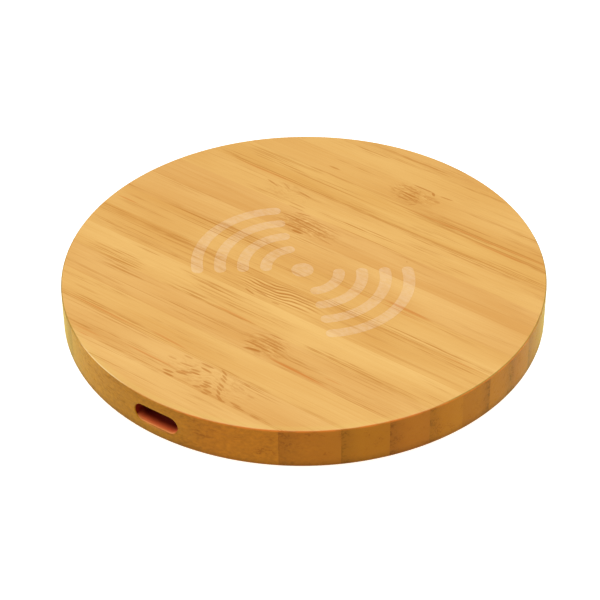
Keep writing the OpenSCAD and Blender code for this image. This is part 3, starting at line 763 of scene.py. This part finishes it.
markShape = {
    "dotR": 2.3,                # mm
    "first": 7.9,               # mm from the dot's middle to the first pair of arcs
    "pitch": 5.05,
    "bow": 0.77,                # radius of an arc's curve, as a share of its distance from the dot's middle
    "arcs": 4,
    "stroke": 2.45,
    "halfAngle": 51,            # degrees about an arc's own centre, round ends included
    "turn": -2.5,               # degrees
    "shiftX": -0.3,
    "proud": 0.02,              # mm, thickness of the ink film above the wood
    "rooted": 0.03,
}


def strokeOutline(shift, r, stroke, sweep, middle):
    half = stroke / 2
    cx = shift * math.cos(math.radians(middle))
    cy = shift * math.sin(math.radians(middle))

    def end(angle, start):
        a = math.radians(angle)
        return arc(cx + r * math.cos(a), cy + r * math.sin(a), half, start, start + 180, 12)[1:-1]

    outer = arc(cx, cy, r + half, middle - sweep, middle + sweep, 40)
    inner = arc(cx, cy, r - half, middle + sweep, middle - sweep, 40)
    return outer + end(middle + sweep, middle + sweep) + inner + end(middle - sweep, middle - sweep + 180)


def makeMark():
    s = markShape
    shape = bmesh.new()

    def film(outlineOf):
        levels = ((-s["rooted"], 0.0), (s["proud"] * 0.5, 0.0), (s["proud"], s["proud"]))
        rings = [[(px + s["shiftX"], py, topZ + z) for px, py in outlineOf(inset)] for z, inset in levels]
        loft(rings, shape)

    film(lambda inset: circle(s["dotR"] - inset, 60))
    for middle in (s["turn"], s["turn"] + 180):
        for i in range(s["arcs"]):
            distance = s["first"] + s["pitch"] * i
            r = s["bow"] * distance
            sweep = s["halfAngle"] - math.degrees(math.asin(s["stroke"] / 2 / r))
            film(lambda inset: strokeOutline(distance - r, r, s["stroke"] - 2 * inset, sweep, middle))
    return finishPiece(objectFrom("printedMark", shape), paleInk, "charging_mark")


printedMark = makeMark()
print("mark:", len(printedMark.data.polygons), "faces")


# effects that several finishes share, each with the same sockets
def skinGroup(name):
    inputs = {"Position": "Vector", "Tone": "Color", "Size": "Float"}
    outputs = {"Colour": "Color", "Grit": "Float", "Height": "Float"}
    tree, wires, given, result = newGroup(name, inputs, outputs)
    place = given["Position"]
    return tree, wires, result, given["Tone"], place, wires.grown(place, given["Size"])


def mouldedGroup():
    tree, wires, result, tone, place, fine = skinGroup("mouldedSkin")
    grit = wires.noise(fine, 3.0, 0.6)
    flow = wires.noise(wires.stretched(place, 0.05, 0.14, 0.14), 2.0, 0.5, 0.6)
    dust = flow.ramp(0.5, 0.75) * grit.ramp(0.5, 0.8) * 0.12
    colour = wires.shaded(tone, grit.ramp(0.3, 0.7, 0.84, 1.12) + (flow - 0.5) * 0.2)
    wires.fill(result, Colour=wires.mix(dust, colour, (0.3, 0.29, 0.27)), Grit=grit * 0.7 + flow * 0.3,
               Height=grit - wires.cells(fine) * 0.5)
    return tree


def metalGroup():
    tree, wires, result, tone, place, fine = skinGroup("drawnMetal")
    brush = wires.noise(wires.stretched(fine, 3.0, 0.2, 3.0))
    bloom = wires.noise(fine, 2.0, 0.55, 0.4)
    shade = bloom.ramp(0.3, 0.7, 0.86, 1.04) + (brush - 0.5) * 0.16
    colour = wires.tinted(tone, wires.combine(shade, shade, shade * 0.98))
    wires.fill(result, Colour=colour, Grit=bloom * 0.6 + brush * 0.4, Height=brush)
    return tree


def pressedGroup():
    tree, wires, result, tone, place, fine = skinGroup("pressedGrit")
    cells = wires.cells(fine)
    grains = wires.noise(fine, 2.0, 0.6)
    fleck = cells.ramp(0.28, 0.1) * grains.ramp(0.5, 0.65)
    colour = wires.shaded(tone, cells.ramp(0.0, 0.8, 0.8, 1.1) + (grains - 0.5) * 0.5)
    wires.fill(result, Colour=wires.mix(fleck * 0.35, colour, (0.45, 0.44, 0.42)),
               Grit=cells * 0.5 + grains * 0.5, Height=cells)
    return tree


mouldedSkin, drawnMetal, pressedGrit = mouldedGroup(), metalGroup(), pressedGroup()

# plain finishes: effect, tone, size (per mm), bump depth (mm), roughness, fixed shader values
finishes = {
    "clear_tape": (mouldedSkin, (0.62, 0.54, 0.36), 1.5, 0.01, 0.3, {"Coat_Weight": 0.3, "Alpha": 0.4}),
    "thermistor_bead": (mouldedSkin, (0.3, 0.13, 0.015), 2.2, 0.01, 0.18, {"Coat_Weight": 0.6}),
    "ferrite": (pressedGrit, (0.022, 0.022, 0.024), 4.0, 0.02, 0.55, {}),
    "chip": (mouldedSkin, (0.014, 0.014, 0.016), 9.0, 0.008, 0.6, {}),
    "inductor": (pressedGrit, (0.04, 0.04, 0.043), 7.0, 0.015, 0.65, {}),
    "ceramic_part": (pressedGrit, (0.36, 0.2, 0.085), 8.0, 0.006, 0.4, {"Coat_Weight": 0.2}),
    "plating": (drawnMetal, (0.62, 0.62, 0.6), 2.0, 0.002, 0.3, {"Metallic": 1.0}),
    "socket_steel": (drawnMetal, (0.52, 0.52, 0.53), 1.4, 0.002, 0.28, {"Metallic": 1.0}),
    "socket_plastic": (mouldedSkin, (0.012, 0.012, 0.012), 8.0, 0.006, 0.45, {}),
    "contact": (drawnMetal, (0.86, 0.58, 0.2), 3.0, 0.001, 0.22, {"Metallic": 1.0}),
    "screw_steel": (drawnMetal, (0.48, 0.49, 0.51), 1.8, 0.002, 0.34, {"Metallic": 1.0}),
    "cover_plastic": (mouldedSkin, (0.022, 0.022, 0.023), 5.0, 0.02, 0.58, {}),
    "foot_rubber": (mouldedSkin, (0.016, 0.016, 0.017), 3.5, 0.015, 0.78, {"Specular_IOR_Level": 0.3}),
}


def plainFinish(slot, effect, tone, size, depth, rough, constants):
    made, wires, shader, place = newMaterial(slot, **constants)
    skin = wires.group(effect, Position=place, Tone=tone, Size=size)
    wires.fill(shader, Base_Color=skin["Colour"], Normal=wires.bump(skin["Height"], depth),
               Roughness=skin["Grit"].ramp(0.25, 0.75, rough - 0.09, rough + 0.09))
    return made


litz = {
    "copper": (0.66, 0.25, 0.1),
    "shadow": (0.2, 0.05, 0.02),
    "twist": 1.6,               # mm along the wire in which three strands cross over
    "slant": 0.9,
    "bumpDepth": 0.05,          # mm
}


# stranded wire: the strands run slantwise across each turn
def copperMaterial():
    made, wires, shader, place = newMaterial("copperLitz", Metallic=1.0, Coat_Weight=0.35, Coat_Roughness=0.2)
    x, y, up = wires.split(place)
    radius = wires.reach(x, y)
    turn = wires.math("ARCTAN2", y, x) * radius
    slant = turn + radius * litz["slant"] + up * litz["slant"]
    strand = wires.math("SINE", slant * (math.tau * 3 / litz["twist"]))
    gloss = wires.noise(wires.grown(place, 1.2))
    lit = strand.ramp(-1.0, 0.4) * gloss.ramp(0.25, 0.6, 0.7, 1.0)
    wires.fill(shader, Base_Color=wires.mix(lit, litz["shadow"], litz["copper"]),
               Roughness=gloss.ramp(0.3, 0.7, 0.24, 0.44), Normal=wires.bump(strand, litz["bumpDepth"]))
    return made


silk = {
    "tone": (0.34, 0.12, 0.05),
    "shadow": (0.12, 0.035, 0.015),
    "pitch": 0.35,              # mm from thread to thread
    "bumpDepth": 0.03,          # mm
}


# silk-covered ends of the wire: two sets of threads wound against each other
def silkMaterial():
    made, wires, shader, place = newMaterial("silkCover", Sheen_Weight=0.4, Sheen_Roughness=0.4)
    x, y, up = wires.split(place)
    rate = math.tau / silk["pitch"]
    one = wires.math("SINE", (x + y + up) * rate)
    other = wires.math("SINE", (x - y - up) * rate)
    weave = (wires.most(one, other) + 1.0) * 0.5
    fuzz = wires.noise(wires.grown(place, 4.0))
    lit = weave * fuzz.ramp(0.25, 0.7, 0.6, 1.0)
    wires.fill(shader, Base_Color=wires.mix(lit, silk["shadow"], silk["tone"]),
               Roughness=fuzz.ramp(0.3, 0.7, 0.6, 0.85), Normal=wires.bump(weave, silk["bumpDepth"]))
    return made


boardLook = {
    "mask": (0.012, 0.09, 0.035),
    "track": (0.03, 0.17, 0.06),
    "cell": 1.9,                # mm
    "trackWidth": 0.22,         # share of a cell
    "trackEdge": 0.04,
    "across": 0.55,             # cells that draw more than this carry their track across, the rest along
    "holed": 0.2,               # cells that draw less than this have a plated hole as well
    "bumpDepth": 0.03,          # mm
}


# solder mask over tracks: each cell carries one track, along or across
def boardMaterial():
    made, wires, shader, place = newMaterial("solderMask", Coat_Weight=0.4, Coat_Roughness=0.15)
    cx, cy = (v * (1 / boardLook["cell"]) for v in wires.split(place)[:2])
    cell = wires.combine(wires.math("FLOOR", cx), wires.math("FLOOR", cy), 0.0)
    draw = wires.value("ShaderNodeTexWhiteNoise", {"Vector": cell}, "Value", noise_dimensions="3D")
    offX, offY = (abs(wires.math("FRACT", v) - 0.5) for v in (cx, cy))
    across = draw > boardLook["across"]
    off = across * offX + (1.0 - across) * offY
    half = boardLook["trackWidth"] / 2
    hole = wires.reach(offX, offY).ramp(0.2, 0.14) * (draw < boardLook["holed"])
    raised = wires.most(off.ramp(half, half - boardLook["trackEdge"]), hole)
    haze = wires.noise(wires.grown(place, 0.5), 3.0)
    colour = wires.mix(raised, boardLook["mask"], boardLook["track"])
    wires.fill(shader, Base_Color=wires.shaded(colour, haze.ramp(0.3, 0.7, 0.85, 1.12)),
               Roughness=haze.ramp(0.3, 0.7, 0.3, 0.46), Normal=wires.bump(raised, boardLook["bumpDepth"]))
    return made


sponge = {
    "tone": (0.03, 0.03, 0.032),
    "pore": (0.006, 0.006, 0.006),
    "poreSize": 0.45,           # mm
    "poreDepth": 0.08,          # mm
}


def spongeMaterial():
    made, wires, shader, place = newMaterial("closedSponge", Specular_IOR_Level=0.25, Sheen_Weight=0.15)
    wall = wires.cells(wires.grown(place, 1 / sponge["poreSize"]), "DISTANCE_TO_EDGE")
    blotch = wires.noise(wires.grown(place, 0.3))
    pores = wall.ramp(0.05, 0.3)
    colour = wires.mix(pores, sponge["tone"], sponge["pore"])
    wires.fill(shader, Base_Color=wires.shaded(colour, blotch.ramp(0.3, 0.7, 0.8, 1.2)),
               Roughness=wall.ramp(0.0, 0.4, 0.75, 0.95), Normal=wires.bump(1.0 - pores, sponge["poreDepth"]))
    return made


finishOf = {slot: plainFinish(slot, *row) for slot, row in finishes.items()}
finishOf.update(bamboo=oiledBamboo, mark_ink=paleInk, copper_wire=copperMaterial(),
                lead_sleeve=silkMaterial(), board=boardMaterial(), foam=spongeMaterial())
for name, piece in nodes.items():
    for place in piece.material_slots:
        place.link = "OBJECT"
        place.material = finishOf[slotOf[name]]
print("finishes:", len(finishOf))

foamShape = {
    "innerR": 4.0,              # mm
    "pull": 0.3,                # mm, how far its sides draw in at the top and bottom
    "channelX": 10.25,          # the wire's way through
    "channelWidth": 1.7,
    "channelEnd": 1.0,
    "channelClear": (2.0, 0.5), # mm past the ring's rim, and above and below it
    "steps": 160,
}


# sponge ring, pressed flat between the shield and the board, its sides swollen
def makeFoam():
    s = foamShape
    low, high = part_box("foam_spacer")
    z0, z1, inner, outer = low.z / mm, high.z / mm, s["innerR"], high.x / mm
    middle, half = (z0 + z1) / 2, (z1 - z0) / 2
    angles = [math.radians(15 * i) for i in range(-6, 7)]
    swell = [(s["pull"] * (1 - math.cos(a)), middle + half * math.sin(a)) for a in angles]
    rows = [outer * part + inner * (1 - part) for part in (0.75, 0.5, 0.25)]
    profile = [(outer - inset, z) for inset, z in swell] + [(r, z1) for r in rows]
    profile += [(inner + inset, z) for inset, z in reversed(swell)] + [(r, z0) for r in reversed(rows)]
    piece = objectFrom("foamRing", lathe(profile + profile[:1], s["steps"]))
    x, w = s["channelX"], s["channelWidth"] / 2
    past, clear = s["channelClear"]
    outline = arc(x, s["channelEnd"] - w, w, 0, 180, 12) + [(x - w, -outer - past), (x + w, -outer - past)]
    carve(piece, "DIFFERENCE", prism(outline, z0 - clear, z1 + clear))
    finishPiece(piece, finishOf["foam"], "foam_spacer", smooth=50)
    return piece


foamRing = makeFoam()
print("foam ring:", len(foamRing.data.polygons), "faces")

coverShape = {
    "edge": 0.3,                # mm, eased rim
    "top": 2.2,                 # mm above the floor
    "recessR": 24.0,
    "recessDepth": 0.25,
    "recessEdge": (0.15, 0.1),  # mm outwards and up
    "ringR": 19.0,
    "ringWidth": 1.0,
    "ringHeight": 0.7,
    "ringEdge": 0.15,
    "topRow": 32.0,             # mm, radii where the top and the underside are divided
    "underRow": 34.0,
    "tongueHalfWidth": 6.8,
    "tongueCorner": 1.5,
    "tongueRoot": 4.0,          # mm into the disc
    "lugPadR": 3.4,
    "lugPadTop": 2.8,
    "postCircle": 31.0,
    "postAngles": (90, 210, 330),
    "postR": 2.6,
    "postTop": 3.2,
    "postBoreR": 0.85,
    "postFloor": 1.2,
    "root": 0.4,                # mm, how deep pads and posts stand in the cover
    "footRecessR": 5.05,
    "footRecess": 0.5,
    "headR": 2.1,
    "headTop": 2.1,
    "holeR": 1.15,
    "clear": 1.0,               # mm, how far a cutter starts or ends outside
    "steps": 240,
}


def atPost(shape, angle):
    return turnedOut(shape, angle, coverShape["postCircle"])


def makeCover():
    s = coverShape
    low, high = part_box("base_cover")
    z0, top, r, front, e = low.z / mm, s["top"], high.x / mm, low.y / mm, s["edge"]
    ringR, ringTop, k = s["ringR"], top + s["ringHeight"], s["ringEdge"]
    ringEnd = ringR + s["ringWidth"]
    outwards, upwards = s["recessEdge"]
    profile = [(0, top), (ringR, top), (ringR, ringTop - k), (ringR + k, ringTop)]
    profile += [(ringEnd - k, ringTop), (ringEnd, ringTop - k), (ringEnd, top), (s["topRow"], top)]
    profile += arc(r - e, top - e, e, 90, 0, 4) + arc(r - e, z0 + e, e, 0, -90, 4)
    profile += [(s["underRow"], z0), (s["recessR"] + outwards, z0), (s["recessR"], z0 + upwards)]
    profile += [(s["recessR"], z0 + s["recessDepth"]), (0, z0 + s["recessDepth"])]
    piece = objectFrom("baseCover", lathe(profile, s["steps"]))

    def tongueRing(inset, z):
        w, c = s["tongueHalfWidth"] - inset, s["tongueCorner"]
        cy = front + inset + c
        outline = arc(-w + c, cy, c, 180, 270, 6) + arc(w - c, cy, c, 270, 360, 6)
        outline += [(w, -r + s["tongueRoot"]), (-w, -r + s["tongueRoot"])]
        return [(px, py, z) for px, py in outline]

    eased = e * 0.3                                               # middle of the tongue's rounded lower edge
    levels = ((e, z0), (eased, z0 + eased), (0, z0 + e), (0, top))
    tongue = loft([tongueRing(inset, z) for inset, z in levels])
    stand, clear = top - s["root"], s["clear"]
    pads = [atLug(plug(s["lugPadR"], stand, s["lugPadTop"]), i) for i in range(4)]
    posts = [atPost(plug(s["postR"], stand, s["postTop"]), a) for a in s["postAngles"]]
    carve(piece, "UNION", tongue, *pads, *posts)
    cuts = []
    for i in range(4):
        cuts.append(atLug(plug(s["footRecessR"], z0 - clear, z0 + s["footRecess"], 64), i))
        cuts.append(atLug(plug(s["headR"], z0 - clear, s["headTop"]), i))
        cuts.append(atLug(plug(s["holeR"], z0 - clear, s["lugPadTop"] + clear), i))
    cuts += [atPost(plug(s["postBoreR"], s["postFloor"], s["postTop"] + clear), a) for a in s["postAngles"]]
    carve(piece, "DIFFERENCE", *cuts)
    return finishPiece(piece, finishOf["cover_plastic"], "base_cover")


baseCover = makeCover()
print("base cover:", len(baseCover.data.polygons), "faces")

footShape = {
    "round": 0.35,              # mm, edge it stands on
    "topEdge": 0.1,
    "grooves": (2.0, 3.4),      # radii of the grip rings
    "grooveWidth": 0.4,
    "grooveFloor": 0.24,
    "grooveDepth": 0.18,
    "steps": 72,
}


def makeFoot(number):
    s = footShape
    name = "rubber_foot_%d" % (number + 1)
    low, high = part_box(name)
    r, top = (high.x - low.x) / 2 / mm, high.z / mm
    profile = [(0, top)] + arc(r - s["topEdge"], top - s["topEdge"], s["topEdge"], 90, 0, 3)
    profile += arc(r - s["round"], s["round"], s["round"], 0, -90, 6)
    mouth, floor, depth = s["grooveWidth"] / 2, s["grooveFloor"] / 2, s["grooveDepth"]
    for groove in reversed(s["grooves"]):
        profile += [(groove + mouth, 0), (groove + floor, depth)]
        profile += [(groove - floor, depth), (groove - mouth, 0)]
    shape = atLug(lathe(profile + [(0, 0)], s["steps"]), number)
    return finishPiece(objectFrom("rubberFoot%d" % (number + 1), shape), finishOf["foot_rubber"], name)


feet = [makeFoot(number) for number in range(4)]
print("feet:", len(feet))

socketShape = {
    "wall": 0.3,                # mm
    "lip": 0.12,
    "legAcross": 0.3,
    "legAlong": 1.2,
    "legY": (-44.05, -40.45),
    "legX": 5.12,
    "legTop": 4.5,
    "legBottom": 3.2,
    "legRoot": 0.2,             # mm into the shell's wall
    "legTip": (0.15, 0.45),     # mm above the bottom, where the tip starts and is full
    "tipWidth": 0.7,            # share of the leg
}


# drawn shell of the cable socket, its mouth rolled smooth
def makeShell():
    s = socketShape
    low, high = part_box("usb_shell")
    front, back, middle = low.y / mm, high.y / mm, bodyShape["shellZ"]
    width, height = bodyShape["shellWidth"], 2 * (high.z / mm - middle)
    lip, wall = s["lip"], s["wall"]
    angles = [math.radians(18 * i) for i in range(6)]
    path = [(front + lip * (1 - math.sin(a)), -lip * (1 - math.cos(a))) for a in angles]
    path += [(front + lip * (1 - math.cos(a)), lip * math.sin(a) - wall) for a in angles]
    path += [(back, -wall), (back, 0.0)]
    rings = [[(px, y, middle + pz) for px, pz in stadium(width, height, grow, 16)] for y, grow in path]
    piece = objectFrom("socketShell", loft(rings, hollow=True))
    half, t, top = s["legAlong"] / 2, s["legAcross"], s["legTop"]

    def slab(side, inner, y, sections):
        x0, x1 = sorted((side * inner, side * (s["legX"] + t / 2)))
        return loft([[(x0, y - w, z), (x1, y - w, z), (x1, y + w, z), (x0, y + w, z)] for z, w in sections])

    start, full = (s["legBottom"] + tip for tip in s["legTip"])
    bent = ((top - t, half), (top, half))
    upright = ((start, half * s["tipWidth"]), (full, half), (top, half))
    legs = []
    for side in (-1, 1):
        for y in s["legY"]:
            legs.append(slab(side, width / 2 - s["legRoot"], y, bent))
            legs.append(slab(side, s["legX"] - t / 2, y, upright))
    carve(piece, "UNION", *legs)
    return finishPiece(piece, finishOf["socket_steel"], "usb_shell")


socketShell = makeShell()
print("socket shell:", len(socketShell.data.polygons), "faces")

cameraFit = {
    "azimuth": 35.5,            # degrees round from the port, to +X
    "elevation": 38.0,
    "distance": 442.6,          # mm from the point looked at
    "lookAt": (-0.67, -0.48, 1.86),
    "roll": -0.65,
    "lens": 127.2,
    "sensor": 36.0,
}

studio = {
    "floorSize": 6.0,               # m
    "floorTone": 0.6,
    "floorGlow": 0.8,               # lit from below, as a light table is
    "softboxSize": 1.1,             # m
    "softboxHeight": 0.9,           # m
    "softboxPower": 13.4,           # W
    "ambient": 0.2,
    "sideAngles": (-36.0, 116.0),   # degrees round from the port
    "sideSize": (0.5, 0.3),         # m
    "sideDistance": 0.7,            # m
    "sideHeight": 0.16,             # m
    "sidePowers": (2.7, 2.2),       # W
}


def addLamp(name, shape, size, power, place):
    lamp = bpy.data.lights.new(name, "AREA")
    lamp.shape = shape
    lamp.size, lamp.size_y = size
    lamp.energy = power
    stand = bpy.data.objects.new(name, lamp)
    stand.location = place
    bpy.context.scene.collection.objects.link(stand)
    return stand


def makeStage():
    s = studio
    half = s["floorSize"] / 2
    mesh = bpy.data.meshes.new("floor")
    corners = [(-half, -half, 0), (half, -half, 0), (half, half, 0), (-half, half, 0)]
    mesh.from_pydata(corners, [], [(0, 1, 2, 3)])
    floor = bpy.data.objects.new("floor", mesh)
    bpy.context.scene.collection.objects.link(floor)
    made = newMaterial("paleFloor", Roughness=0.9, Base_Color=(s["floorTone"],) * 3, Specular_IOR_Level=0.2,
                       Emission_Color=(1.0, 1.0, 1.0), Emission_Strength=s["floorGlow"])[0]
    mesh.materials.append(made)
    addLamp("softbox", "SQUARE", (s["softboxSize"],) * 2, s["softboxPower"], (0.0, 0.0, s["softboxHeight"]))
    far, height = s["sideDistance"], s["sideHeight"]
    for number, angle in enumerate(s["sideAngles"]):
        a = math.radians(angle)
        place = (far * math.sin(a), -far * math.cos(a), height)
        name = "sideLight%d" % (number + 1)
        stand = addLamp(name, "RECTANGLE", s["sideSize"], s["sidePowers"][number], place)
        stand.rotation_euler = (-stand.location).to_track_quat("-Z", "Y").to_euler()
    world = bpy.data.worlds.new("studio")
    bpy.context.scene.world = world
    world.use_nodes = True
    sky = world.node_tree.nodes["Background"].inputs
    sky["Color"].default_value = (1.0, 1.0, 1.0, 1.0)
    sky["Strength"].default_value = s["ambient"]


def makeCamera():
    azimuth, elevation, roll = (math.radians(cameraFit[k]) for k in ("azimuth", "elevation", "roll"))
    level = math.cos(elevation)
    back = Vector((math.sin(azimuth) * level, -math.cos(azimuth) * level, math.sin(elevation)))
    right = Vector((math.cos(azimuth), math.sin(azimuth), 0.0))
    up = back.cross(right)
    right, up = right * math.cos(roll) + up * math.sin(roll), up * math.cos(roll) - right * math.sin(roll)
    lens = bpy.data.cameras.new("camera")
    lens.lens = cameraFit["lens"]
    lens.sensor_width = cameraFit["sensor"]
    lens.clip_start = 0.01
    camera = bpy.data.objects.new("camera", lens)
    place = (Vector(cameraFit["lookAt"]) + back * cameraFit["distance"]) * mm
    camera.matrix_world = Matrix.Translation(place) @ Matrix((right, up, back)).transposed().to_4x4()
    bpy.context.scene.collection.objects.link(camera)
    bpy.context.scene.camera = camera


makeStage()
makeCamera()
bpy.context.scene.view_settings.view_transform = "Standard"
print("stage ready")
